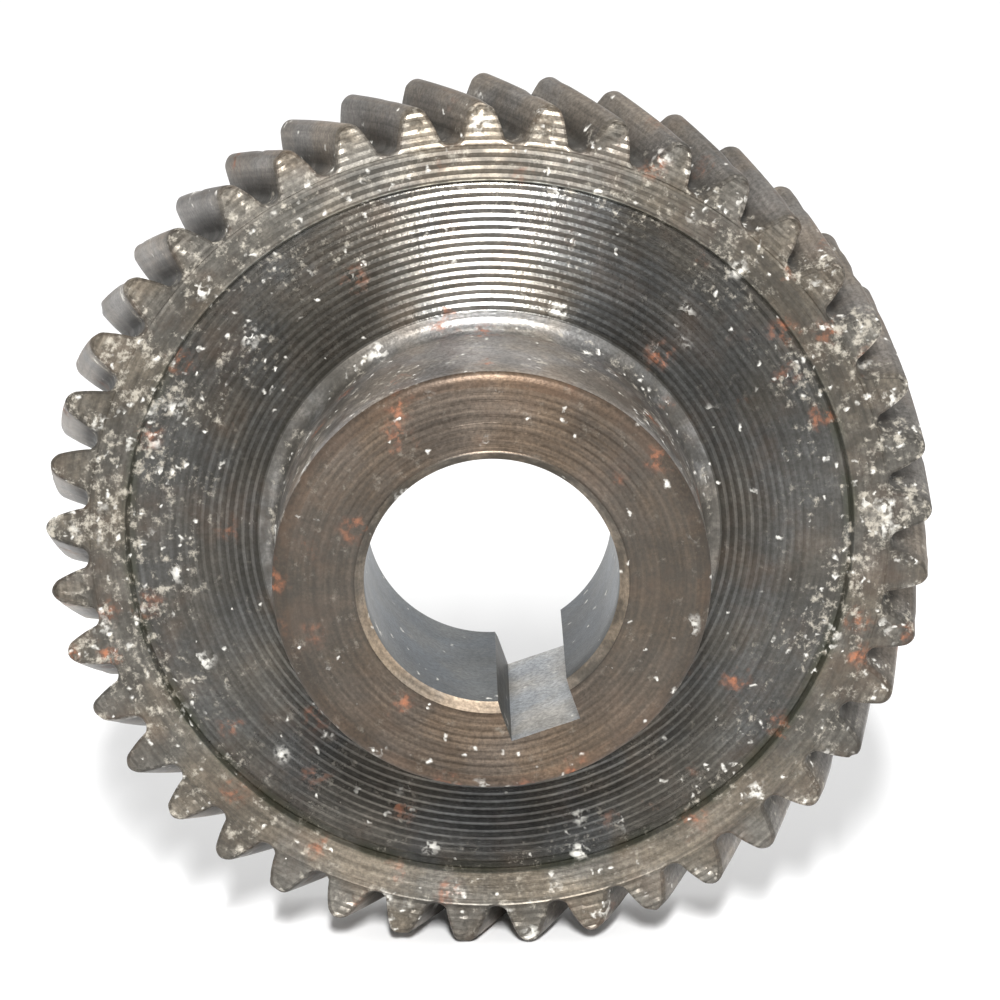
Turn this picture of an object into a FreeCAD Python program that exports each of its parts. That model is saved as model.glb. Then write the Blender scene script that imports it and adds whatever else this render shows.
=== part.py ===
"""Helical gear, turned, hobbed and broached from one steel blank.

Frame: the bore axis is Y, the hub points to -Y, +Z is up, and the gear stands on its teeth.
The origin lies on the bore axis, at the middle of the toothed rim's width. Millimetres.
"""

import FreeCAD
import Part
import math
import os

import Sketcher

os.makedirs("parts", exist_ok=True)

NODE = "helical_gear"

# Driving dimensions, in mm and degrees.
DIMS = {
    "teeth": 41,
    "normal_module": 1.05,
    "normal_pressure_deg": 20,
    "helix_deg": 26,  # left hand
    "dedendum_factor": 1.2,
    "face_width": 7.5,
    "tooth_end_break": 0.25,
    "tooth_phase_deg": 0.8,  # of the tooth next to +Z on the front face, towards -X
    "step_depth": 0.25,
    "step_outer_radius": 20.6,
    "step_inner_radius": 20.4,
    "hub_radius": 12,
    "hub_rise": 8.5,  # from the front face of the rim
    "hub_break": 0.8,
    "hub_break_depth": 0.35,
    "hub_fillet": 1.0,
    "bore_radius": 7,
    "bore_break": 0.5,
    "bore_behind_face": 4,  # from the front face of the rim to the back end of the bore
    "back_recess_radius": 19.5,
    "back_recess_fillet": 1.0,
    "key_width": 4,
    "key_floor_radius": 9,
    "key_turn_deg": 19.3,  # from -Z towards +X
    "cutter_overrun": 0.6,
}


def involute(angle):
    return math.tan(angle) - angle


def arc_radius(a, b, c):
    """The radius of the circle through three points."""
    sides = math.dist(a, b), math.dist(b, c), math.dist(c, a)
    twice_area = abs((b[0] - a[0]) * (c[1] - a[1]) - (c[0] - a[0]) * (b[1] - a[1]))
    return sides[0] * sides[1] * sides[2] / (2 * twice_area)


def tooth_dimensions(d):
    """Radii of the teeth, and the half width of a gap between two teeth at three radii."""
    helix = math.radians(d["helix_deg"])
    pitch_radius = d["normal_module"] * d["teeth"] / (2 * math.cos(helix))
    tip_radius = pitch_radius + d["normal_module"]
    root_radius = pitch_radius - d["dedendum_factor"] * d["normal_module"]
    pressure = math.atan(math.tan(math.radians(d["normal_pressure_deg"])) / math.cos(helix))
    base_radius = pitch_radius * math.cos(pressure)

    def half_gap(radius):
        at_radius = math.acos(base_radius / radius)
        tooth = math.pi / (2 * d["teeth"]) + involute(pressure) - involute(at_radius)
        return math.pi / d["teeth"] - tooth

    values = {"pitch_radius": pitch_radius, "tip_radius": tip_radius, "root_radius": root_radius}
    heights = {
        "foot": root_radius + 0.25 * d["normal_module"],
        "flank": pitch_radius,
        "mouth": tip_radius + d["cutter_overrun"],
    }
    for name, radius in heights.items():
        angle = half_gap(radius)
        values[name + "_half"] = radius * math.sin(angle)
        values[name + "_height"] = radius * math.cos(angle)
    flank = [(values[name + "_half"], values[name + "_height"]) for name in heights]
    values["flank_arc"] = arc_radius(*flank)
    foot, bottom = flank[0], (0, root_radius)
    values["bottom_arc"] = arc_radius((-foot[0], foot[1]), bottom, foot)
    values["twist_deg_per_mm"] = math.degrees(math.tan(helix) / pitch_radius)
    return values


def fill_sheet(doc, values):
    """A sheet with one named cell for each value."""
    sheet = doc.addObject("Spreadsheet::Sheet", "dims")
    for row, (name, value) in enumerate(values.items(), start=1):
        sheet.set("A%d" % row, name)
        sheet.set("B%d" % row, repr(round(value, 6)))
        sheet.setAlias("B%d" % row, name)
    doc.recompute()
    return sheet


def origin_plane(body, role):
    for feature in body.Origin.OriginFeatures:
        if feature.Role == role:
            return feature
    raise RuntimeError("no " + role)


def new_sketch(body, name, role):
    sketch = body.newObject("Sketcher::SketchObject", name)
    sketch.AttachmentSupport = [(origin_plane(body, role), "")]
    sketch.MapMode = "FlatFace"
    return sketch


def bind(sketch, kind, where, value, expression):
    """A driving distance or radius whose value follows the sheet."""
    index = sketch.addConstraint(Sketcher.Constraint(kind, *where, abs(value)))
    sketch.setExpression("Constraints[%d]" % index, expression)
    return index


def arc_through(a, middle, b):
    """An arc of a sketch through three points, counter-clockwise about +Z."""
    chord, half = b - a, middle - a
    cross = chord.x * half.y - chord.y * half.x
    up_chord = FreeCAD.Vector(-chord.y, chord.x, 0)
    # The centre lies on the chord's bisector, as far from a as from the middle point.
    reach = (half.dot(half) - chord.dot(half)) / (2 * cross)
    centre = a + chord / 2 + up_chord * reach
    first, last = (b, a) if cross > 0 else (a, b)
    angles = [math.atan2(p.y - centre.y, p.x - centre.x) for p in (first, last)]
    circle = Part.Circle(centre, FreeCAD.Vector(0, 0, 1), (a - centre).Length)
    return Part.ArcOfCircle(circle, angles[0], angles[1])


def close_loop(sketch, curves, corners):
    """Adds curves from corner to corner, joins them, and returns each corner (curve, end)."""
    ids = [sketch.addGeometry(curve, False) for curve in curves]
    starts, ends = [], []
    for index, corner in zip(ids, corners):
        # An arc always runs counter-clockwise, so it may start at its second corner.
        forward = (sketch.Geometry[index].StartPoint - corner).Length < 1e-6
        starts.append((index, 1 if forward else 2))
        ends.append((index, 2 if forward else 1))
    for i, start in enumerate(starts):
        sketch.addConstraint(Sketcher.Constraint("Coincident", *ends[i - 1], *start))
    return starts


def place_point(sketch, point, spot, expressions):
    """Ties a point (geometry, position) to the sketch's origin in x and y.

    The solver keeps a point on the side on which it was drawn, so each distance is positive.
    """
    origin = (-1, 1)
    for kind, value, expression in zip(("DistanceX", "DistanceY"), spot, expressions):
        ends = origin + point if value >= 0 else point + origin
        bind(sketch, kind, ends, value, expression)


def blank_corners(v):
    """The half section of the turned blank: (y, radius) with the expression of each."""
    front = "dims.face_width / 2"
    hub = "(dims.face_width / 2 + dims.hub_rise)"
    web = "(dims.face_width / 2 - dims.step_depth)"
    back = "dims.face_width / 2"
    deep = "(dims.bore_behind_face - dims.face_width / 2)"
    y_front = -v["face_width"] / 2
    y_hub = y_front - v["hub_rise"]
    y_web = y_front + v["step_depth"]
    y_back = -y_front
    y_deep = y_front + v["bore_behind_face"]
    bore, hub_r, tip = v["bore_radius"], v["hub_radius"], v["tip_radius"]
    cb, ch, ct, fh = v["bore_break"], v["hub_break"], v["tooth_end_break"], v["hub_fillet"]
    cd = v["hub_break_depth"]
    rr, fr = v["back_recess_radius"], v["back_recess_fillet"]
    rows = [
        (y_hub + cb, bore, hub + " - dims.bore_break", "dims.bore_radius"),
        (y_hub, bore + cb, hub, "dims.bore_radius + dims.bore_break"),
        (y_hub, hub_r - ch, hub, "dims.hub_radius - dims.hub_break"),
        (y_hub + cd, hub_r, hub + " - dims.hub_break_depth", "dims.hub_radius"),
        (y_web - fh, hub_r, web + " + dims.hub_fillet", "dims.hub_radius"),
        (y_web, hub_r + fh, web, "dims.hub_radius + dims.hub_fillet"),
        (y_web, v["step_inner_radius"], web, "dims.step_inner_radius"),
        (y_front, v["step_outer_radius"], front, "dims.step_outer_radius"),
        (y_front, tip - ct, front, "dims.tip_radius - dims.tooth_end_break"),
        (y_front + ct, tip, front + " - dims.tooth_end_break", "dims.tip_radius"),
        (y_back - ct, tip, back + " - dims.tooth_end_break", "dims.tip_radius"),
        (y_back, tip - ct, back, "dims.tip_radius - dims.tooth_end_break"),
        (y_back, rr + ct, back, "dims.back_recess_radius + dims.tooth_end_break"),
        (y_back - ct, rr, back + " - dims.tooth_end_break", "dims.back_recess_radius"),
        (y_deep + fr, rr, deep + " + dims.back_recess_fillet", "dims.back_recess_radius"),
        (y_deep, rr - fr, deep, "dims.back_recess_radius - dims.back_recess_fillet"),
        (y_deep, bore + cb, deep, "dims.bore_radius + dims.bore_break"),
        (y_deep - cb, bore, "-" + deep + " + dims.bore_break", "dims.bore_radius"),
    ]
    return rows


def draw_blank(body, v):
    """The closed half section, revolved about the bore axis."""
    sketch = new_sketch(body, "blank_section", "YZ_Plane")
    rows = blank_corners(v)
    points = [FreeCAD.Vector(y, r, 0) for y, r, _, _ in rows]
    rounds = {4: "hub_fillet", 14: "back_recess_fillet"}
    curves = []
    for i, start in enumerate(points):
        end = points[(i + 1) % len(points)]
        if i in rounds:
            # A quarter circle inside the corner: its centre is level with both ends.
            centre = FreeCAD.Vector(start.x, end.y, 0)
            middle = centre + ((start + end) / 2 - centre).normalize() * v[rounds[i]]
            curves.append(arc_through(start, middle, end))
        else:
            curves.append(Part.LineSegment(start, end))
    joints = close_loop(sketch, curves, points)
    for joint, (y, r, y_expression, r_expression) in zip(joints, rows):
        place_point(sketch, joint, (y, r), (y_expression, r_expression))
    for i, cell in rounds.items():
        bind(sketch, "Radius", (joints[i][0],), v[cell], "dims." + cell)
    turned = body.newObject("PartDesign::Revolution", "blank")
    turned.Profile = sketch
    turned.ReferenceAxis = (sketch, ["H_Axis"])
    turned.Angle = 360
    return turned


def draw_gap(body, name, v, depth, depth_expression):
    """The outline between two teeth, on a plane across the axis, turned with the helix.

    depth is the plane's y. The sketch's own normal is -Y, and a left-hand helix turns
    counter-clockwise seen from the front as it goes back.
    """
    sketch = new_sketch(body, name, "XZ_Plane")
    half_pitch = 180 / v["teeth"]
    front_phase = v["tooth_phase_deg"] + half_pitch
    turn = front_phase + (depth + v["face_width"] / 2) * v["twist_deg_per_mm"]
    sketch.AttachmentOffset = FreeCAD.Placement(
        FreeCAD.Vector(0, 0, -depth), FreeCAD.Rotation(FreeCAD.Vector(0, 0, 1), turn)
    )
    sketch.setExpression("AttachmentOffset.Base.z", "-(%s)" % depth_expression)
    turn_expression = (
        "dims.tooth_phase_deg + 180 / dims.teeth"
        " + (%s + dims.face_width / 2) * dims.twist_deg_per_mm" % depth_expression
    )
    sketch.setExpression("AttachmentOffset.Rotation.Angle", turn_expression)

    def spot(cell, side):
        return FreeCAD.Vector(side * v[cell + "_half"], v[cell + "_height"], 0)

    bottom = FreeCAD.Vector(0, v["root_radius"], 0)
    left = [spot(cell, -1) for cell in ("mouth", "flank", "foot")]
    right = [spot(cell, 1) for cell in ("foot", "flank", "mouth")]
    curves = [
        arc_through(*left),
        arc_through(left[2], bottom, right[0]),
        arc_through(*right),
        Part.LineSegment(right[2], left[0]),
    ]
    corners = [left[0], left[2], right[0], right[2]]
    joints = close_loop(sketch, curves, corners)
    cells = ["mouth", "foot", "foot", "mouth"]
    for joint, corner, cell in zip(joints, corners, cells):
        expressions = ("dims.%s_half" % cell, "dims.%s_height" % cell)
        place_point(sketch, joint, (corner.x, corner.y), expressions)
    for joint, cell in zip(joints, ("flank_arc", "bottom_arc", "flank_arc")):
        bind(sketch, "Radius", (joint[0],), v[cell], "dims." + cell)
    return sketch


def cut_teeth(body, v):
    """One gap lofted through five turned outlines, then repeated round the axis."""
    reach = v["face_width"] / 2 + v["cutter_overrun"]
    sketches = []
    for i in range(5):
        share = i / 2 - 1
        expression = "%s * (dims.face_width / 2 + dims.cutter_overrun)" % share
        sketches.append(draw_gap(body, "gap_outline_%d" % i, v, share * reach, expression))
    gap = body.newObject("PartDesign::SubtractiveLoft", "tooth_gap")
    gap.Profile = sketches[0]
    gap.Sections = sketches[1:]
    gap.Ruled = False
    # One gap crosses the blank's seam, and merging faces would lose it from the pattern.
    gap.Refine = False
    body.Document.recompute()
    ring = body.newObject("PartDesign::PolarPattern", "tooth_gaps")
    ring.Originals = [gap]
    ring.Axis = (origin_plane(body, "Y_Axis"), [""])
    ring.Angle = 360
    ring.Refine = False
    ring.Occurrences = int(v["teeth"])
    ring.setExpression("Occurrences", "dims.teeth")
    body.Tip = ring
    body.Document.recompute()
    return gap, ring


def cut_keyway(body, v):
    """A slot broached right through the bore, square in section."""
    sketch = new_sketch(body, "key_outline", "XZ_Plane")
    start = v["face_width"] / 2 + v["hub_rise"] + 1
    sketch.AttachmentOffset = FreeCAD.Placement(
        FreeCAD.Vector(0, 0, start),
        FreeCAD.Rotation(FreeCAD.Vector(0, 0, 1), v["key_turn_deg"]),
    )
    sketch.setExpression(
        "AttachmentOffset.Base.z", "dims.face_width / 2 + dims.hub_rise + 1"
    )
    sketch.setExpression("AttachmentOffset.Rotation.Angle", "dims.key_turn_deg")
    half, floor, top = v["key_width"] / 2, v["key_floor_radius"], v["bore_radius"] / 2
    spots = [(-half, -top), (-half, -floor), (half, -floor), (half, -top)]
    corners = [FreeCAD.Vector(x, z, 0) for x, z in spots]
    lines = [Part.LineSegment(corners[i], corners[(i + 1) % 4]) for i in range(4)]
    joints = close_loop(sketch, lines, corners)
    depths = ["dims.bore_radius / 2", "dims.key_floor_radius"]
    depths += depths[::-1]
    for joint, spot, depth in zip(joints, spots, depths):
        place_point(sketch, joint, spot, ("dims.key_width / 2", depth))
    slot = body.newObject("PartDesign::Pocket", "keyway")
    slot.Profile = sketch
    slot.Length = v["hub_rise"] + v["face_width"] + 2
    slot.setExpression("Length", "dims.hub_rise + dims.face_width + 2")
    body.Tip = slot
    body.Document.recompute()
    return slot


def check(doc, body, steps):
    """Every feature must have computed, and each cut must have taken material away."""
    for thing in doc.Objects:
        if "Invalid" in thing.State or "Error" in thing.State:
            raise RuntimeError("%s: %s" % (thing.Name, thing.State))
    volumes = [step.Shape.Volume for step in steps]
    print("volumes", [round(volume, 1) for volume in volumes])
    for before, after in zip(volumes, volumes[1:]):
        if not after < before:
            raise RuntimeError("a cut took nothing away: %s" % volumes)
    one_gap, all_gaps = volumes[0] - volumes[1], volumes[0] - volumes[2]
    if abs(all_gaps - DIMS["teeth"] * one_gap) > one_gap / 2:
        raise RuntimeError("not every gap was cut: %s" % volumes)
    shape = body.Shape
    if shape.isNull() or not shape.isValid() or len(shape.Solids) != 1:
        raise RuntimeError("the body is not one valid solid")


def main():
    values = dict(DIMS)
    values.update(tooth_dimensions(DIMS))
    doc = FreeCAD.newDocument("gear")
    fill_sheet(doc, values)
    body = doc.addObject("PartDesign::Body", NODE)
    body.Label = NODE
    blank = draw_blank(body, values)
    doc.recompute()
    gap, ring = cut_teeth(body, values)
    slot = cut_keyway(body, values)
    body.Placement = FreeCAD.Placement()
    doc.recompute()
    check(doc, body, [blank, gap, ring, slot])
    body.Shape.exportStep("parts/%s.step" % NODE)


main()
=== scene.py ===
"""Looks of the helical gear: turned, hobbed and broached steel, worn, oily and spotted with rust.

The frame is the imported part's: the bore axis is Y, the hub points to -Y and +Z is up.
Sizes in this script are in millimetres, and become metres when a mesh is made.
"""

import math

import bmesh
import bpy
import numpy as np
from mathutils import Matrix, Vector


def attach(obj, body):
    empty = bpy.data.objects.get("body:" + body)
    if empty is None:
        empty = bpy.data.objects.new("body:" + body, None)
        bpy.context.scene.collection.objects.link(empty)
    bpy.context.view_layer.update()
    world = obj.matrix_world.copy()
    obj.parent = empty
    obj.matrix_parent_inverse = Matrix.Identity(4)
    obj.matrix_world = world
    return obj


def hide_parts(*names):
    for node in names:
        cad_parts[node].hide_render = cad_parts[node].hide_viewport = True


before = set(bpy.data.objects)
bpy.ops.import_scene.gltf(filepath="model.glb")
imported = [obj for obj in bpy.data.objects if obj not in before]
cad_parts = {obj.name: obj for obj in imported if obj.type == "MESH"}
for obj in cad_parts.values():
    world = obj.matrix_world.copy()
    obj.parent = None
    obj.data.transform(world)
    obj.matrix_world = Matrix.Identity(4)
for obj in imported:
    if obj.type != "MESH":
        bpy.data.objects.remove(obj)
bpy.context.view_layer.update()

MM = 0.001
RNG = np.random.default_rng(41)

# Driving dimensions, the same as the part's.
TEETH = 41
NORMAL_MODULE = 1.05
HELIX = math.radians(26)
FACE_WIDTH = 7.5
TOOTH_PHASE = math.radians(-0.8)
END_BREAK = 0.25
STEP_DEPTH = 0.25
STEP_OUTER, STEP_INNER = 20.6, 20.4
HUB_R, HUB_RISE, HUB_FILLET = 12.0, 8.5, 1.0
HUB_BREAK, HUB_BREAK_DEPTH = 0.8, 0.35
BORE_R, BORE_BREAK, BORE_DEPTH = 7.0, 0.5, 4.0
RECESS_R, RECESS_FILLET = 19.5, 1.0
KEY_WIDTH, KEY_FLOOR = 4.0, 9.0
KEY_ANGLE = math.radians(180 - 19.3)

# Worked out from them.
PITCH_R = NORMAL_MODULE * TEETH / (2 * math.cos(HELIX))
TIP_R = PITCH_R + NORMAL_MODULE
ROOT_R = PITCH_R - 1.2 * NORMAL_MODULE
PRESSURE = math.atan(math.tan(math.radians(20)) / math.cos(HELIX))
BASE_R = PITCH_R * math.cos(PRESSURE)
PITCH = 2 * math.pi / TEETH
TWIST = math.tan(HELIX) / PITCH_R
Y_FRONT, Y_BACK = -FACE_WIDTH / 2, FACE_WIDTH / 2
Y_WEB = Y_FRONT + STEP_DEPTH
Y_HUB = Y_FRONT - HUB_RISE
Y_DEEP = Y_FRONT + BORE_DEPTH

# Turning marks: the tool's feed per turn, how deep it cuts, where in each mark the valley lies,
# and the rows of the mesh to each mark.
WEB_FEED, WEB_CUT = 0.46, 0.09
HUB_FEED, HUB_CUT = 0.42, 0.055
VALLEY = 0.4
GROOVE_ROWS = 5

# Worn shape of the teeth: height of the dome on the tip, and the angle up to which it is flank.
TIP_DOME, DOME_TURN = 0.42, 0.9
# Rounding of the outline's edges at the two end faces, and the number of nicks.
END_ROUND = 0.2
NICKS = 260

# Columns of the mesh: round the hub and web, across the keyway, and across one tooth.
ROUND_COLUMNS, KEY_COLUMNS, TOOTH_COLUMNS = 260, 20, 10
# Points nearer than this are one, and edges shorter than the second length go.
MERGE, SHORTEST_EDGE = 0.0015, 0.0005

# Camera: its place, how far it looks down and aside, and its sensor and lens.
CAMERA_PLACE = (-3.0, -236.0, 76.5)
CAMERA_DOWN, CAMERA_ASIDE = math.radians(17.76), math.radians(-0.88)
CAMERA_SENSOR, CAMERA_LENS = 36, 156.1


def involute(angle):
    return math.tan(angle) - angle


def half_gap(radius):
    """Half the angle of the gap between two neighbouring teeth, at this radius."""
    at_radius = math.acos(BASE_R / radius)
    tooth = math.pi / (2 * TEETH) + involute(PRESSURE) - involute(at_radius)
    return math.pi / TEETH - tooth


def polar(radius, angle, y):
    """Points of the frame at these angles, which run clockwise from +Z, seen from the front."""
    radius, angle, y = np.broadcast_arrays(radius, angle, y)
    return np.stack([radius * np.sin(angle), y, radius * np.cos(angle)], -1)


def turning_marks(radius, start, feed, cut):
    """Depth of the turned surface below its crests: deepest at VALLEY of the way along each mark."""
    phase = ((np.asarray(radius) - start) / feed) % 1.0
    return cut * np.minimum(phase / VALLEY, (1 - phase) / (1 - VALLEY))


class Skin:
    """Patches of mesh, joined where their edges meet. Every face has a zone number."""

    def __init__(self):
        self.points, self.faces, self.zones, self.count = [], [], [], 0

    def add(self, points, faces, zone):
        self.points.append(points.reshape(-1, 3))
        self.faces.extend((faces + self.count).tolist())
        self.zones.extend([zone] * len(faces))
        self.count += len(self.points[-1])

    def grid(self, points, zone):
        """Quads between neighbouring points of a grid, rows by columns."""
        rows, columns = points.shape[:2]
        ids = np.arange(rows * columns).reshape(rows, columns)
        quads = np.stack([ids[:-1, :-1], ids[:-1, 1:], ids[1:, 1:], ids[1:, :-1]], -1)
        self.add(points, quads.reshape(-1, 4), zone)

    def zip(self, inner, inner_angles, outer, outer_angles, zone):
        """Triangles between two closed rings with different numbers of points."""
        i = j = 0
        faces = []
        shift = len(inner)
        while i < len(inner) - 1 or j < len(outer) - 1:
            inner_next = inner_angles[i + 1] if i < len(inner) - 1 else math.inf
            outer_next = outer_angles[j + 1] if j < len(outer) - 1 else math.inf
            if inner_next <= outer_next:
                faces.append((i, i + 1, shift + j))
                i += 1
            else:
                faces.append((i, shift + j + 1, shift + j))
                j += 1
        self.add(np.concatenate([inner, outer]), np.array(faces), zone)


# Zones of the surface.
WEB, RIM, HUB_FACE, HUB_EDGE, HUB_SIDE, FILLET, BORE, BORE_EDGE, KEY_BOTTOM, KEY_WALL = range(10)
FLANK, TIP, EDGE, BACK, STEP = range(10, 15)


def arc_steps(count):
    return np.linspace(0, math.pi / 2, count)


def groove_rows(start, end, origin, feed):
    """Radii of the rows on a turned face; some lie on every crest and every valley of the marks."""
    step = feed / GROOVE_ROWS
    # Share of a step that stays free beside the face's two ends.
    margin = 0.3
    first = math.ceil((start - origin) / step + margin)
    last = math.floor((end - origin) / step - margin)
    return np.concatenate([[start], origin + step * np.arange(first, last + 1), [end]])


def web_y(radius):
    return Y_WEB + turning_marks(radius, HUB_R, WEB_FEED, WEB_CUT)


def rim_y(radius):
    return Y_FRONT + turning_marks(radius, HUB_R, WEB_FEED, WEB_CUT)


def hub_y(radius):
    return Y_HUB + turning_marks(radius, BORE_R, HUB_FEED, HUB_CUT)


def bore_and_keyway(skin):
    """Bore, its two breaks, and the parts of the end faces that the keyway cuts."""
    corner = math.hypot(KEY_WIDTH / 2, KEY_FLOOR)
    steps = np.linspace(0, 1, 4)
    face_rows = groove_rows(BORE_R + BORE_BREAK, corner, BORE_R, HUB_FEED)
    radii = np.concatenate([BORE_R + BORE_BREAK * steps[:-1], face_rows])
    front = np.concatenate([Y_HUB + BORE_BREAK * (1 - steps[:-1]), hub_y(face_rows)])
    front[len(steps) - 1] = Y_HUB
    back = np.concatenate([Y_DEEP - BORE_BREAK * (1 - steps[:-1]), np.full(len(face_rows), Y_DEEP)])
    along = np.linspace(0, 1, 9)

    def edge_angles(radius):
        half = np.arcsin(KEY_WIDTH / 2 / radius)
        start, end = KEY_ANGLE + half, KEY_ANGLE + 2 * math.pi - half
        return np.linspace(start, end, ROUND_COLUMNS + 1, axis=-1)

    angles = edge_angles(radii)
    rows = len(steps)
    for ys, edge_zone, face_zone in ((front, BORE_EDGE, HUB_FACE), (back, BACK, BACK)):
        for part, zone in ((slice(rows), edge_zone), (slice(rows - 1, None), face_zone)):
            skin.grid(polar(radii[part, None], angles[part], ys[part, None]), zone)
    wall_y = front[:, None] + (back - front)[:, None] * along
    skin.grid(polar(BORE_R, angles[0][None, :], wall_y[0][:, None]), BORE)
    for column in (0, -1):
        skin.grid(polar(radii[:, None], angles[:, column][:, None], wall_y), KEY_WALL)

    # Floor of the keyway, and the slivers of the end faces between it and the next full ring.
    across = np.linspace(-KEY_WIDTH / 2, KEY_WIDTH / 2, KEY_COLUMNS + 1)
    floor_r = np.hypot(across, KEY_FLOOR)
    floor_a = KEY_ANGLE + np.arctan2(across, KEY_FLOOR)
    floor_front = hub_y(floor_r)
    floor_y = floor_front[:, None] + (Y_DEEP - floor_front)[:, None] * along
    skin.grid(polar(floor_r[:, None], floor_a[:, None], floor_y), KEY_BOTTOM)
    ring_a = np.linspace(floor_a[0], floor_a[-1], KEY_COLUMNS + 1)
    pair_r = np.stack([floor_r, np.full(KEY_COLUMNS + 1, corner)])
    pair_a = np.stack([floor_a, ring_a])
    skin.grid(polar(pair_r, pair_a, hub_y(pair_r)), HUB_FACE)
    skin.grid(polar(pair_r, pair_a, Y_DEEP), BACK)
    return np.concatenate([edge_angles(np.array(corner))[:-1], ring_a + 2 * math.pi]), corner


def turned_body(skin, angles, corner):
    """Hub face, hub side, fillet and web in front; the recess behind."""

    def revolve(radii, ys, zone):
        skin.grid(polar(np.asarray(radii)[:, None], angles, np.asarray(ys)[:, None]), zone)

    hub_edge = HUB_R - HUB_BREAK
    rows = groove_rows(corner, hub_edge, BORE_R, HUB_FEED)
    ys = hub_y(rows)
    ys[-1] = Y_HUB
    revolve(rows, ys, HUB_FACE)
    steps = np.linspace(0, 1, 5)
    bend = steps * math.pi / 2
    edge_y = Y_HUB + HUB_BREAK_DEPTH * (1 - np.cos(bend))
    revolve(hub_edge + HUB_BREAK * np.sin(bend), edge_y, HUB_EDGE)
    side = np.linspace(Y_HUB + HUB_BREAK_DEPTH, Y_WEB - HUB_FILLET, 6)
    revolve(np.full(len(side), HUB_R), side, HUB_SIDE)
    turn = arc_steps(7)
    foot = HUB_R + HUB_FILLET
    foot_y = web_y(foot)
    fillet_y = Y_WEB - HUB_FILLET + (foot_y - Y_WEB + HUB_FILLET) * np.sin(turn)
    revolve(foot - HUB_FILLET * np.cos(turn), fillet_y, FILLET)
    rows = groove_rows(foot, STEP_INNER, HUB_R, WEB_FEED)
    revolve(rows, web_y(rows), WEB)
    step_r = np.array([STEP_INNER, STEP_INNER + 0.04, STEP_OUTER - 0.08, STEP_OUTER - 0.04])
    step_y = np.array([web_y(STEP_INNER), Y_WEB, Y_FRONT + 0.06, Y_FRONT + 0.02])
    revolve(step_r, step_y, STEP)

    # The recess.
    deep_edge = RECESS_R - RECESS_FILLET
    rows = np.linspace(corner, deep_edge, 5)
    revolve(rows, np.full(len(rows), Y_DEEP), BACK)
    fillet_y = Y_DEEP + RECESS_FILLET * (1 - np.cos(turn))
    revolve(deep_edge + RECESS_FILLET * np.sin(turn), fillet_y, BACK)
    rows = np.linspace(Y_DEEP + RECESS_FILLET, Y_BACK - END_BREAK, 3)
    revolve(np.full(len(rows), RECESS_R), rows, BACK)
    steps = np.linspace(0, 1, 3)
    revolve(RECESS_R + END_BREAK * steps, Y_BACK - END_BREAK * (1 - steps), BACK)
    front_edge = polar(step_r[-1], angles, step_y[-1])
    back_edge = polar(RECESS_R + END_BREAK, angles, Y_BACK)
    return front_edge, back_edge


def tooth_side():
    """(angle from the gap's centre, radius) from a gap's centre to the top land of a tooth."""
    foot_r = ROOT_R + 0.25 * NORMAL_MODULE
    half_x = foot_r * math.sin(half_gap(foot_r))
    rise = foot_r * math.cos(half_gap(foot_r)) - ROOT_R
    bottom_r = (half_x**2 + rise**2) / (2 * rise)
    bend = np.linspace(0, math.asin(half_x / bottom_r), 5)
    x, up = bottom_r * np.sin(bend), ROOT_R + bottom_r * (1 - np.cos(bend))
    points = [(math.atan2(a, b), math.hypot(a, b)) for a, b in zip(x, up)]
    for radius in np.linspace(foot_r, TIP_R - TIP_DOME, 8)[1:]:
        points.append((half_gap(radius), radius))
    for turn in np.linspace(0, DOME_TURN, 4)[1:]:
        points.append(dome_point(turn))
    return np.array(points)


def dome_point(turn):
    """(angle from the gap's centre, radius) on a tooth's worn tip; a quarter turn is its crest."""
    radius = TIP_R - TIP_DOME * (1 - math.sin(turn))
    thick = PITCH / 2 - half_gap(radius)
    return PITCH / 2 - thick * math.cos(turn), radius


def tooth_outline():
    """(angle, radius) round one tooth from gap to gap, and the number of points of each side."""
    side = tooth_side()
    across = np.linspace(0, 1, TOOTH_COLUMNS + 1)
    left = np.stack([-PITCH / 2 + side[:, 0], side[:, 1]], -1)
    right = np.stack([PITCH / 2 - side[::-1, 0], side[::-1, 1]], -1)
    turns = DOME_TURN + (math.pi - 2 * DOME_TURN) * across[1:-1]
    land = np.array([dome_point(turn) for turn in turns]) - (PITCH / 2, 0)
    return np.concatenate([left, land, right]), len(side)


def outline_normals(flat):
    """Outward normals of the outline; at its two ends they point along the radius."""
    ahead, behind = np.roll(flat, -1, 0), np.roll(flat, 1, 0)
    ahead[-1], behind[0] = flat[-1], flat[0]
    along = ahead - behind
    normal = np.stack([-along[:, 1], along[:, 0]], -1)
    normal /= np.linalg.norm(normal, axis=1)[:, None]
    for end, angle in ((0, -PITCH / 2), (-1, PITCH / 2)):
        normal[end] = (math.sin(angle), math.cos(angle))
    return normal


def turned(centre, angle, y):
    """The angle at depth y of a point that lies at this angle from a tooth's centre in front."""
    return centre + angle - TWIST * (y - Y_FRONT)


def flat_back(radius):
    return np.full(np.shape(radius), Y_BACK)


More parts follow.
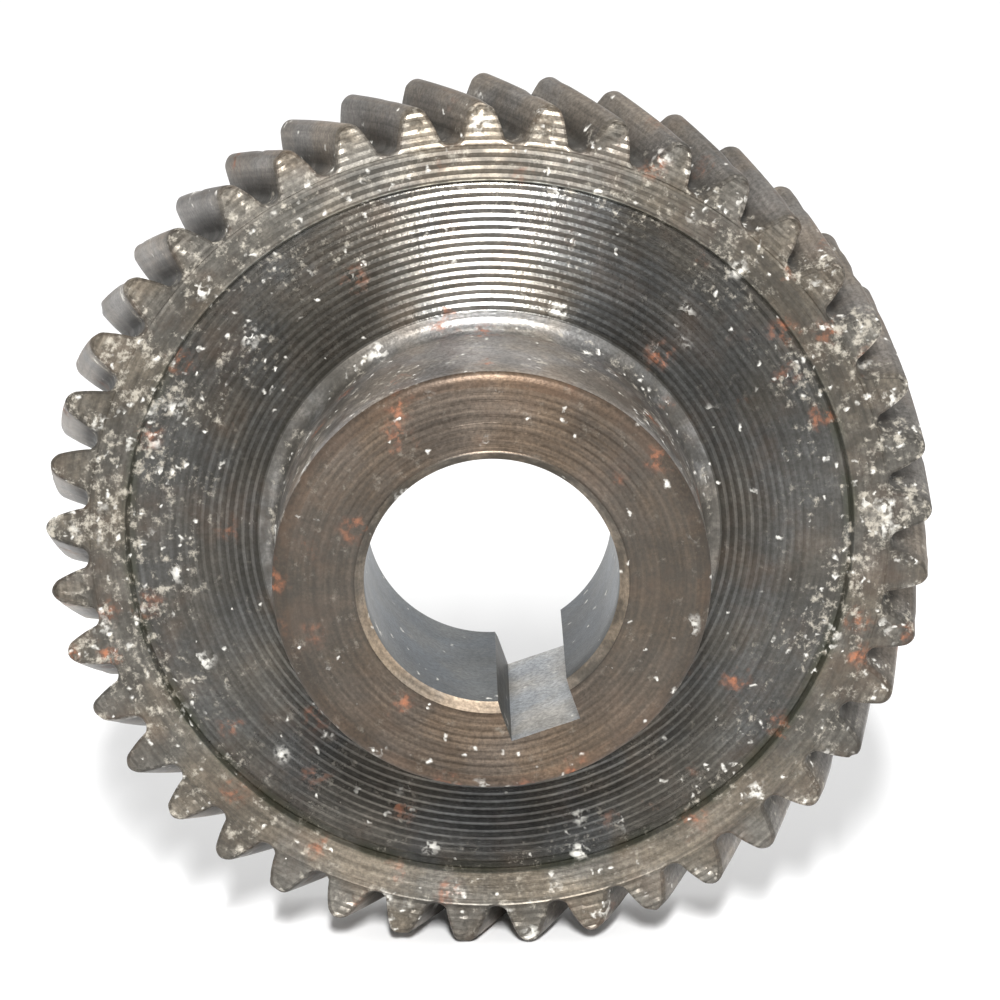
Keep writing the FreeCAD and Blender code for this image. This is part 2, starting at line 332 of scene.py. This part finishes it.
def teeth(skin):
    """The helical teeth, with their end faces down to the bottom of the gaps."""
    loop, count = tooth_outline()
    flat = np.stack([loop[:, 1] * np.sin(loop[:, 0]), loop[:, 1] * np.cos(loop[:, 0])], -1)
    normal = outline_normals(flat)

    def inset(amount):
        moved = flat - normal * amount
        return np.arctan2(moved[:, 0], moved[:, 1]), np.hypot(moved[:, 0], moved[:, 1])

    # Rows along the tooth: its depth, and how far the outline is drawn in there.
    bend = [(END_ROUND * (1 - math.cos(t)), END_ROUND * (1 - math.sin(t))) for t in arc_steps(4)]
    rows = [(Y_FRONT + depth, amount) for depth, amount in bend]
    rows += [(y, 0.0) for y in np.linspace(Y_FRONT + END_ROUND, Y_BACK - END_ROUND, 10)[1:-1]]
    rows += [(Y_BACK - depth, amount) for depth, amount in bend[::-1]]
    rounded = len(bend)
    top = slice(count - 1, len(loop) - count + 1)
    spans = ((slice(0, count), FLANK), (top, TIP), (slice(len(loop) - count, len(loop)), FLANK))
    across = np.linspace(0, 1, TOOTH_COLUMNS + 1)

    for centre in TOOTH_PHASE + PITCH * np.arange(TEETH):
        sheet = []
        for row, (y, amount) in enumerate(rows):
            angle, radius = inset(amount)
            at = rim_y(radius) if row == 0 else np.full(len(radius), y)
            sheet.append(polar(radius, turned(centre, angle, at), at))
        sheet = np.stack(sheet)
        for span, zone in spans:
            skin.grid(sheet[:rounded, span], EDGE)
            skin.grid(sheet[rounded - 1 : -rounded + 1, span], zone)
            skin.grid(sheet[-rounded:, span], EDGE)
        angle, radius = inset(END_ROUND)
        for surface, zone in ((rim_y, RIM), (flat_back, BACK)):
            first, last = angle[:count], angle[::-1][:count]
            grid_a = first[:, None] + (last - first)[:, None] * across
            grid_r = np.repeat(radius[:count, None], TOOTH_COLUMNS + 1, 1)
            grid_a[-1], grid_r[-1] = angle[top], radius[top]
            ys = surface(grid_r)
            skin.grid(polar(grid_r, turned(centre, grid_a, ys), ys), zone)


def rim_faces(skin, front_edge, back_edge, edge_angles):
    """The rim's two faces between the teeth and the turned body's edges."""
    ring_a = TOOTH_PHASE - PITCH / 2 + PITCH / TOOTH_COLUMNS * np.arange(TEETH * TOOTH_COLUMNS + 1)
    front_r = groove_rows(STEP_OUTER, ROOT_R - END_ROUND, HUB_R, WEB_FEED)
    back_r = np.linspace(RECESS_R + END_BREAK + 0.4, ROOT_R - END_ROUND, 3)
    for radii, surface, zone in ((front_r, rim_y, RIM), (back_r, flat_back, BACK)):
        ys = surface(radii)[:, None]
        skin.grid(polar(radii[:, None], turned(0, ring_a[None, :], ys), ys), zone)
    for ring, radius, y, zone in (
        (front_edge, STEP_OUTER, float(rim_y(STEP_OUTER)), STEP),
        (back_edge, back_r[0], Y_BACK, BACK),
    ):
        start = edge_angles[0]
        outer_a = np.sort(start + (turned(0, ring_a, y)[:-1] - start) % (2 * math.pi))
        outer = polar(radius, outer_a, y)
        outer_a = np.append(outer_a, outer_a[0] + 2 * math.pi)
        skin.zip(ring, edge_angles, np.concatenate([outer, outer[:1]]), outer_a, zone)


def join(skin):
    """One closed mesh from the patches, in millimetres."""
    mesh = bpy.data.meshes.new("gear")
    mesh.from_pydata(np.concatenate(skin.points).tolist(), [], skin.faces)
    zone = mesh.attributes.new("zone", "INT", "FACE")
    zone.data.foreach_set("value", np.array(skin.zones, np.int32))
    work = bmesh.new()
    work.from_mesh(mesh)
    bmesh.ops.remove_doubles(work, verts=work.verts, dist=MERGE)
    bmesh.ops.dissolve_degenerate(work, edges=work.edges, dist=SHORTEST_EDGE)
    bmesh.ops.recalc_face_normals(work, faces=work.faces)
    work.to_mesh(mesh)
    work.free()
    return mesh


def nick_teeth(points):
    """Nicks and flats worn into the tips and the front ends of the teeth."""
    radius = np.hypot(points[:, 0], points[:, 2])
    outer = np.flatnonzero(radius > ROOT_R - 0.5)
    near = points[outer]
    for _ in range(NICKS):
        at_front = RNG.random() < 0.6
        y = Y_FRONT if at_front else RNG.uniform(Y_FRONT, Y_BACK)
        tooth = TOOTH_PHASE + PITCH * RNG.integers(TEETH) - TWIST * (y - Y_FRONT)
        height = RNG.uniform(ROOT_R + 0.4, TIP_R) if at_front else TIP_R
        centre = polar(height, tooth + RNG.uniform(-0.028, 0.028), y)
        size, depth = RNG.uniform(0.25, 0.75), RNG.uniform(0.04, 0.2)
        share = np.clip(1 - (np.linalg.norm(near - centre, axis=1) / size) ** 2, 0, None) ** 2
        inward = -polar(1.0, tooth, 0.0) * (0.5 if at_front else 1.0)
        inward[1] = 0.9 if at_front else 0.0
        near += inward * depth * share[:, None]
    points[outer] = near
    return points


# Colours of what lies on the steel, and of the painted shade and painted glints.
COOL_CAST, WARM_CAST = (0.95, 0.99, 1.04), (1.05, 1.0, 0.93)
DIRT_IN_MARKS = (0.028, 0.026, 0.022)
# Dark colour of the dirt and of the painted shade on the sides and in the gaps between the teeth.
DIRT_AND_SHADE = (0.035, 0.032, 0.026)
# Colour of a dark line along the front recess's edge.
STEP_DARK_LINE = (0.045, 0.047, 0.030)
RUST_FILM = (0.10, 0.055, 0.03)
RUST_DARK, RUST_BRIGHT = (0.10, 0.042, 0.022), (0.36, 0.13, 0.06)
SCUFF = (0.50, 0.46, 0.385)
# Painted glints: bright, dull specks that stand in for the sparkle of the worn steel.
PAINTED_GLINT = (0.82, 0.80, 0.74)

# Colour, roughness, rust and dirt of each zone.
ZONE_LOOKS = {
    WEB: ((0.130, 0.126, 0.117), 0.17, 0.5, 0.8),
    RIM: ((0.285, 0.255, 0.212), 0.24, 0.6, 0.8),
    HUB_FACE: ((0.128, 0.098, 0.074), 0.24, 0.55, 0.8),
    HUB_EDGE: ((0.120, 0.086, 0.062), 0.36, 0.8, 0.5),
    # Painted reflection: the hub side's tint is far lighter than the hub face's, standing in for the
    # light it reflects.
    HUB_SIDE: ((0.43, 0.395, 0.365), 0.36, 1.0, 0.4),
    # Painted highlight: the fillet's tint is lighter than the web's, for a bright band round the
    # hub's foot.
    FILLET: ((0.34, 0.325, 0.305), 0.26, 0.4, 0.3),
    BORE: ((0.085, 0.095, 0.102), 0.32, 0.1, 0.5),
    # Painted highlight: a light tint on the bore's break, which the painted shade leaves bare only on
    # its lower left.
    BORE_EDGE: ((0.45, 0.37, 0.29), 0.34, 0.4, 0.3),
    KEY_BOTTOM: ((0.43, 0.43, 0.425), 0.42, 0.0, 0.2),
    KEY_WALL: ((0.09, 0.09, 0.083), 0.45, 0.1, 0.6),
    FLANK: ((0.19, 0.170, 0.148), 0.34, 0.35, 0.3),
    TIP: ((0.19, 0.163, 0.136), 0.36, 0.9, 0.3),
    EDGE: ((0.17, 0.15, 0.125), 0.40, 0.9, 0.3),
    BACK: ((0.15, 0.14, 0.125), 0.26, 0.6, 0.6),
    STEP: ((0.16, 0.155, 0.135), 0.36, 0.3, 0.2),
}


def bell(angle, middle, spread):
    return np.exp(-(((angle - middle) / spread) ** 2))


def wear_and_glint_density(points):
    """Where the surface is scuffed and painted with glints: most on the left and right of the rim."""
    radius = np.hypot(points[:, 0], points[:, 2])
    angle = np.degrees(np.arctan2(points[:, 0], points[:, 2]))
    rim = np.clip((radius - 15) / 5, 0, 1)
    left = bell(angle, -78, 42)
    right = bell(angle, 75, 44) * np.clip((radius - 17) / 3, 0, 1)
    front = points[:, 1] < Y_FRONT + 1.5
    hub_side = (np.abs(radius - HUB_R) < 0.6) & (points[:, 1] > Y_HUB + HUB_BREAK_DEPTH)
    density = 0.13 + 0.1 * rim + 0.6 * rim * left + 0.6 * right + 0.25 * hub_side
    return np.where(front, density, 0.1)


def dirt_and_shade_share(points):
    """Where dirt and painted shade sit: in the gaps between the teeth, and most on the left and right
    of the front; less at the top of the tooth ends, little at the rim's bottom, and none on the lower
    left of the bore's break, which is left lit as a painted highlight.
    """
    x, y, z = points.T
    radius = np.hypot(x, z)
    # Painted shade, set by the direction round the axis: most to the left and right.
    sideways = (x / radius) ** 2
    top, bottom = np.clip(z / radius, 0, 1) ** 2, np.clip(-z / radius, 0, 1) ** 4
    # Painted shade deep in the gaps between the teeth.
    in_gap = np.clip((TIP_R - 0.4 - radius) / 1.7, 0, 1)
    behind_face = np.clip((y - Y_FRONT) / 0.5, 0, 1)
    gap = in_gap**1.5 * behind_face
    end = (0.5 + 0.35 * sideways - 0.35 * top) * (1 - behind_face)
    rim = (0.7 + 0.2 * sideways + 0.14 * top - 0.7 * bottom) * (1 - behind_face)
    web = 0.65 * sideways
    hub_side = 0.1 + 0.75 * np.clip(sideways * 2.2, 0, 1)
    hub_face = 0.75 * sideways
    # The bore's break is shaded all round but for its lower left, which stays light as a painted
    # highlight.
    bore_edge = 0.85 - 0.85 * np.clip((-0.87 * z - 0.5 * x) / radius, 0, 1) ** 4
    zones = (
        (radius > ROOT_R - 0.3, end + gap),
        (y > Y_WEB + 0.3, 0.0),
        (radius > STEP_OUTER, rim),
        (radius > HUB_R + HUB_FILLET + 0.2, web),
        (y > Y_HUB + BORE_BREAK + 0.05, np.where(radius > HUB_R - 0.1, hub_side, 0.0)),
        (radius < BORE_R + BORE_BREAK + 0.05, bore_edge),
    )
    return np.select([zone for zone, _ in zones], [share for _, share in zones], hub_face)


def paint(mesh, points):
    """Stores the look of every face, and the wear with its painted glints and the dirt with its
    painted shade at every point, for the material.
    """
    zones = np.empty(len(mesh.polygons), np.int32)
    mesh.attributes["zone"].data.foreach_get("value", zones)
    tint = np.array([(*ZONE_LOOKS[zone][0], 1) for zone in range(len(ZONE_LOOKS))], np.float32)
    finish = np.array([(*ZONE_LOOKS[zone][1:], 1) for zone in range(len(ZONE_LOOKS))], np.float32)
    for name, table in (("tint", tint), ("finish", finish)):
        layer = mesh.attributes.new(name, "FLOAT_COLOR", "FACE")
        layer.data.foreach_set("color", table[zones].ravel())
    for name, values in (("wear_and_glints", wear_and_glint_density(points)), ("dirt_and_shade", dirt_and_shade_share(points))):
        layer = mesh.attributes.new(name, "FLOAT", "POINT")
        layer.data.foreach_set("value", values.astype(np.float32))


class Graph:
    """Short names for the nodes of a material; an input is a socket or a plain value."""

    def __init__(self, material):
        self.tree = material.node_tree

    def node(self, kind, inputs=(), **settings):
        made = self.tree.nodes.new(kind)
        for key, value in settings.items():
            setattr(made, key, value)
        for key, value in dict(inputs).items():
            self.feed(made.inputs[key], value)
        return made

    def feed(self, socket, value):
        if isinstance(value, bpy.types.NodeSocket):
            self.tree.links.new(value, socket)
        else:
            socket.default_value = value

    def math(self, operation, a, b=0.0, c=0.0):
        return self.node("ShaderNodeMath", {0: a, 1: b, 2: c}, operation=operation).outputs[0]

    def scaled(self, vector, scale):
        made = self.node("ShaderNodeVectorMath", {0: vector, "Scale": scale}, operation="SCALE")
        return made.outputs[0]

    def noise(self, vector, scale, detail=2.0, roughness=0.5):
        inputs = {"Vector": vector, "Scale": scale, "Detail": detail, "Roughness": roughness}
        return self.node("ShaderNodeTexNoise", inputs).outputs["Fac"]

    def span(self, value, low, high, to_low=0.0, to_high=1.0):
        """A smooth step of value from low to high."""
        inputs = {0: value, 1: low, 2: high, 3: to_low, 4: to_high}
        made = self.node("ShaderNodeMapRange", inputs, interpolation_type="SMOOTHSTEP")
        return made.outputs[0]

    def mix(self, share, a, b, blend="MIX"):
        made = self.node("ShaderNodeMix", data_type="RGBA", blend_type=blend)
        for index, value in ((0, share), (6, a), (7, b)):
            if isinstance(value, tuple):
                value = (*value, 1.0)
            self.feed(made.inputs[index], value)
        return made.outputs[2]

    def attribute(self, name):
        return self.node("ShaderNodeAttribute", attribute_name=name)

    def spots(self, vector, scale, low, high, share):
        """Round spots in some cells of a grid: share is how many of the cells have one."""
        made = self.node("ShaderNodeTexVoronoi", {"Vector": vector, "Scale": scale})
        spot = self.span(made.outputs["Distance"], low, high, 1.0, 0.0)
        pick = self.node("ShaderNodeSeparateColor", {0: made.outputs["Color"]}).outputs[0]
        chosen = self.math("LESS_THAN", pick, share)
        return self.math("MULTIPLY", spot, chosen)


def grooves_mask(g, radius, start, feed):
    """0 on the crests of the turning marks and 1 half way between them."""
    turns = g.math("DIVIDE", g.math("SUBTRACT", radius, start), feed)
    phase = g.math("FRACT", turns)
    return g.math("SUBTRACT", 1.0, g.math("ABSOLUTE", g.math("MULTIPLY_ADD", phase, 2.0, -1.0)))


class Surface:
    """What the layers of the steel share: places in millimetres, and the stored look of a face."""

    def __init__(self, g):
        self.place = g.scaled(g.node("ShaderNodeTexCoord").outputs["Object"], 1 / MM)
        x, self.y, self.z = g.node("ShaderNodeSeparateXYZ", {0: self.place}).outputs
        flat = g.node("ShaderNodeCombineXYZ", {0: x, 2: self.z}).outputs[0]
        length = g.node("ShaderNodeVectorMath", {0: flat}, operation="LENGTH")
        self.radius = length.outputs["Value"]
        self.tint = g.attribute("tint").outputs["Color"]
        finish = g.node("ShaderNodeSeparateColor", {0: g.attribute("finish").outputs["Color"]})
        self.roughness, self.rust_share, self.dirt_share = finish.outputs
        # Stored for each point: the wear, which brings painted glints, and the dirt with painted
        # shade.
        self.wear_and_glints = g.attribute("wear_and_glints").outputs["Fac"]
        self.dirt_and_shade = g.attribute("dirt_and_shade").outputs["Fac"]
        self.on_web = grooves_mask(g, self.radius, HUB_R, WEB_FEED)
        # A place moved about at random, so that spots lose their even outlines.
        wobble = g.node("ShaderNodeTexNoise", {"Vector": self.place, "Scale": 1.4, "Detail": 3.0})
        self.shifted = g.node(
            "ShaderNodeVectorMath",
            {0: wobble.outputs["Color"], 1: (1.1, 1.1, 1.1), 2: self.place},
            operation="MULTIPLY_ADD",
        ).outputs[0]
        # A place drawn out along the turning marks.
        long_x, long_z = g.math("MULTIPLY", x, 0.16), g.math("MULTIPLY", self.z, 0.16)
        ring = {0: long_x, 1: g.math("MULTIPLY", self.radius, 2.6), 2: long_z}
        self.ring_place = g.node("ShaderNodeCombineXYZ", ring).outputs[0]


def stained_steel(g, at):
    """The zone's tint under broad patches of oil, streaks along the turning marks and fine grain."""
    patches = g.span(g.noise(at.place, 0.16, 4.0, 0.6), 0.35, 0.68, 0.72, 1.2)
    streaks = g.span(g.noise(at.ring_place, 1.0, 3.0, 0.6), 0.3, 0.7, 0.75, 1.25)
    grain = g.span(g.noise(at.place, 4.5, 3.0, 0.7), 0.3, 0.7, 0.72, 1.28)
    tone = g.math("MULTIPLY", g.math("MULTIPLY", patches, streaks), grain)
    shade = g.node("ShaderNodeCombineColor", {0: tone, 1: tone, 2: tone}).outputs[0]
    warmth = g.span(g.noise(at.shifted, 0.22, 3.0), 0.38, 0.62)
    cast = g.mix(warmth, COOL_CAST, WARM_CAST)
    return g.mix(1.0, g.mix(1.0, at.tint, shade, "MULTIPLY"), cast, "MULTIPLY")


def add_dirt_and_shade(g, at, colour):
    """Dirt in the turning marks; dirt and painted shade on the gear's two sides and in the gaps
    between the teeth; a dark line along the front recess's edge.
    """
    on_hub = grooves_mask(g, at.radius, BORE_R, HUB_FEED)
    hub_part = g.math("LESS_THAN", at.y, (Y_HUB + Y_FRONT) / 2)
    marks = g.node("ShaderNodeMix", {0: hub_part, 2: at.on_web, 3: on_hub}).outputs[0]
    marks = g.math("MULTIPLY", g.span(marks, 0.2, 1.0), at.dirt_share)
    colour = g.mix(g.math("MULTIPLY", marks, 0.3), colour, DIRT_IN_MARKS)

    # Dirt and painted shade: darkest on the left and right, and in the gaps between the teeth.
    uneven = g.span(g.noise(at.place, 0.9, 4.0), 0.3, 0.6, 0.65, 1.0)
    dirt_and_shade = g.math("MULTIPLY", at.dirt_and_shade, uneven)
    colour = g.mix(dirt_and_shade, colour, DIRT_AND_SHADE)

    # A dark, broken line along the front recess's edge, on the front only, fading out towards the
    # top.
    from_edge = g.math("ABSOLUTE", g.math("SUBTRACT", at.radius, STEP_INNER))
    breaks = g.span(g.noise(at.place, 0.35, 3.0), 0.35, 0.6, 0.15, 0.75)
    line = g.math("MULTIPLY", g.span(from_edge, 0.1, 0.6, 1.0, 0.0), breaks)
    line = g.math("MULTIPLY", line, g.span(at.z, 4.0, 15.0, 1.0, 0.0))
    line = g.math("MULTIPLY", line, g.math("LESS_THAN", at.y, Y_FRONT + 1))
    return g.mix(line, colour, STEP_DARK_LINE), dirt_and_shade


def add_rust(g, at, colour):
    """A thin brown film, and broken spots."""
    film = g.math("MULTIPLY", g.span(g.noise(at.place, 0.3, 5.0, 0.65), 0.46, 0.72), at.rust_share)
    colour = g.mix(g.math("MULTIPLY", film, 0.5), colour, RUST_FILM)
    spots = g.spots(at.shifted, 0.42, 0.0, 0.5, 0.22)
    broken = g.span(g.noise(at.place, 1.5, 4.0, 0.65), 0.42, 0.62)
    rust = g.math("MULTIPLY", g.math("MULTIPLY", spots, broken), g.span(at.rust_share, 0.0, 0.5))
    bright = g.span(g.noise(at.place, 2.4, 3.0), 0.4, 0.6)
    return g.mix(rust, colour, g.mix(bright, RUST_DARK, RUST_BRIGHT)), film, rust


def add_scuffs_and_glints(g, at, colour):
    """Scuffs, cloudy and crowded where the wear is heavy, and brighter flecks that are painted
    glints.
    """
    clouds = g.span(g.noise(at.place, 0.4, 3.0, 0.6), 0.38, 0.62, 0.1, 1.0)
    share = g.math("MULTIPLY", at.wear_and_glints, clouds)
    scuffed = g.math("MULTIPLY_ADD", share, 0.13, g.noise(at.place, 1.7, 5.0, 0.74))
    scuffs = g.math("MULTIPLY", g.span(scuffed, 0.56, 0.74), g.span(share, 0.0, 0.35))
    colour = g.mix(g.math("MULTIPLY", scuffs, 0.8), colour, SCUFF)
    # Painted glints: fine and coarse flecks of a bright colour where the wear is heavy.
    fine = g.spots(at.shifted, 2.0, 0.0, 0.42, g.math("MULTIPLY", share, 0.5))
    coarse = g.spots(at.shifted, 0.7, 0.0, 0.55, g.math("MULTIPLY", share, 0.4))
    coarse = g.math("MULTIPLY", coarse, g.span(g.noise(at.place, 3.0, 3.0), 0.4, 0.6))
    painted_glints = g.math("MAXIMUM", fine, coarse)
    return g.mix(painted_glints, colour, PAINTED_GLINT), scuffs, painted_glints


def fine_relief(g, at):
    """Height of the grain, of lines along the turning marks, and of the marks on the tooth ends."""
    lines = g.math("MULTIPLY", g.noise(at.ring_place, 3.0, 2.0), 0.5)
    relief = g.math("ADD", g.noise(at.place, 5.0, 3.0, 0.65), lines)
    at_front = g.math("LESS_THAN", at.y, Y_FRONT + 0.15)
    tooth_end = g.math("MULTIPLY", at_front, g.math("GREATER_THAN", at.radius, ROOT_R - END_ROUND))
    return g.math("MULTIPLY_ADD", g.math("MULTIPLY", at.on_web, tooth_end), -5.0, relief)


def steel_material():
    material = bpy.data.materials.new("worn_steel")
    material.use_nodes = True
    g = Graph(material)
    shader = g.tree.nodes["Principled BSDF"]
    at = Surface(g)
    colour, dirt_and_shade = add_dirt_and_shade(g, at, stained_steel(g, at))
    colour, film, rust = add_rust(g, at, colour)
    colour, scuffs, painted_glints = add_scuffs_and_glints(g, at, colour)

    # Rust, scuffs, painted glints, and the dirt with painted shade are rougher and less metallic than
    # the steel.
    loose = g.math("MAXIMUM", g.math("MAXIMUM", rust, painted_glints), g.math("MULTIPLY", scuffs, 0.6))
    metal = g.math("MULTIPLY_ADD", loose, -0.8, 0.82)
    metal = g.math("SUBTRACT", metal, g.math("MULTIPLY", film, 0.3))
    metal = g.math("MULTIPLY", metal, g.math("MULTIPLY_ADD", dirt_and_shade, -0.6, 1.0))
    rough = g.math("ADD", at.roughness, g.math("MULTIPLY", loose, 0.35))
    rough = g.math("ADD", rough, g.math("MULTIPLY", g.noise(at.place, 0.7, 4.0), 0.12))
    rough = g.math("ADD", rough, g.math("MULTIPLY", dirt_and_shade, 0.2))

    g.feed(shader.inputs["Base Color"], colour)
    g.feed(shader.inputs["Metallic"], metal)
    g.feed(shader.inputs["Roughness"], rough)
    bump_inputs = {"Strength": 0.55, "Distance": 0.03 * MM, "Height": fine_relief(g, at)}
    bump = g.node("ShaderNodeBump", bump_inputs)
    g.feed(shader.inputs["Normal"], bump.outputs[0])
    return material


def build_gear():
    skin = Skin()
    angles, corner = bore_and_keyway(skin)
    front_edge, back_edge = turned_body(skin, angles, corner)
    teeth(skin)
    rim_faces(skin, front_edge, back_edge, angles)
    mesh = join(skin)
    points = np.empty(len(mesh.vertices) * 3)
    mesh.vertices.foreach_get("co", points)
    points = points.reshape(-1, 3)
    points = nick_teeth(points)
    mesh.vertices.foreach_set("co", (points * MM).ravel())
    mesh.update()
    paint(mesh, points)
    mesh.shade_smooth()
    mesh.set_sharp_from_angle(angle=math.radians(35))
    gear = bpy.data.objects.new("gear", mesh)
    bpy.context.scene.collection.objects.link(gear)
    return gear


def plain_material(name, colour, roughness):
    material = bpy.data.materials.new(name)
    material.use_nodes = True
    shader = material.node_tree.nodes["Principled BSDF"]
    shader.inputs["Base Color"].default_value = (*colour, 1)
    shader.inputs["Roughness"].default_value = roughness
    return material


def add_camera():
    """Stands in front of the hub and above it, and looks down on it."""
    data = bpy.data.cameras.new("camera")
    data.sensor_width, data.lens = CAMERA_SENSOR, CAMERA_LENS
    camera = bpy.data.objects.new("camera", data)
    bpy.context.scene.collection.objects.link(camera)
    level = math.cos(CAMERA_DOWN)
    sine, cosine = math.sin(CAMERA_ASIDE), math.cos(CAMERA_ASIDE)
    right = Vector((cosine, sine, 0))
    ahead = Vector((-sine * level, cosine * level, -math.sin(CAMERA_DOWN)))
    axes = Matrix((right, right.cross(ahead), -ahead)).transposed()
    camera.matrix_world = Matrix.Translation(Vector(CAMERA_PLACE) * MM) @ axes.to_4x4()
    bpy.context.scene.camera = camera


def add_light(name, azimuth, elevation, distance, size, power):
    """A soft light that faces the gear; size is its width and height in metres."""
    data = bpy.data.lights.new(name, "AREA")
    data.shape = "ELLIPSE"
    data.size, data.size_y = size
    data.energy = power
    light = bpy.data.objects.new(name, data)
    bpy.context.scene.collection.objects.link(light)
    turn, tilt = math.radians(azimuth), math.radians(elevation)
    level = distance * math.cos(tilt)
    light.location = (level * math.sin(turn), -level * math.cos(turn), distance * math.sin(tilt))
    light.rotation_euler = (-light.location).to_track_quat("-Z", "Y").to_euler()


def add_studio():
    """A sky that is white behind the gear, a little bright above it, and dim in front of it."""
    world = bpy.data.worlds.new("studio")
    bpy.context.scene.world = world
    world.use_nodes = True
    tree = world.node_tree
    direction = tree.nodes.new("ShaderNodeTexCoord").outputs["Generated"]
    axes = tree.nodes.new("ShaderNodeSeparateXYZ")
    tree.links.new(direction, axes.inputs[0])
    total = tree.nodes.new("ShaderNodeMath")
    # From low to high along the axis, the strength goes from the third number to the fourth.
    glows = {"Y": (-0.75, 0.25, 0.12, 1.0), "Z": (0.35, 0.95, 0.0, 0.25)}
    for slot, (axis, span) in enumerate(glows.items()):
        glow = tree.nodes.new("ShaderNodeMapRange")
        tree.links.new(axes.outputs[axis], glow.inputs[0])
        for index, value in enumerate(span, start=1):
            glow.inputs[index].default_value = value
        tree.links.new(glow.outputs[0], total.inputs[slot])
    tree.links.new(total.outputs[0], tree.nodes["Background"].inputs["Strength"])
    tree.nodes["Background"].inputs["Color"].default_value = (1, 1, 1, 1)


def add_stage():
    bpy.ops.mesh.primitive_plane_add(size=6, location=(0, 0, -TIP_R * MM))
    floor = bpy.context.object
    floor.name = "floor"
    floor.data.materials.append(plain_material("pale_floor", (0.9, 0.9, 0.9), 0.6))
    add_studio()
    add_light("key", azimuth=-1, elevation=41, distance=0.6, size=(0.06, 0.2), power=5.2)
    bpy.context.scene.view_settings.view_transform = "Standard"


gear = build_gear()
gear.data.materials.append(steel_material())
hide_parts("helical_gear")
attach(gear, "root")
add_camera()
add_stage()
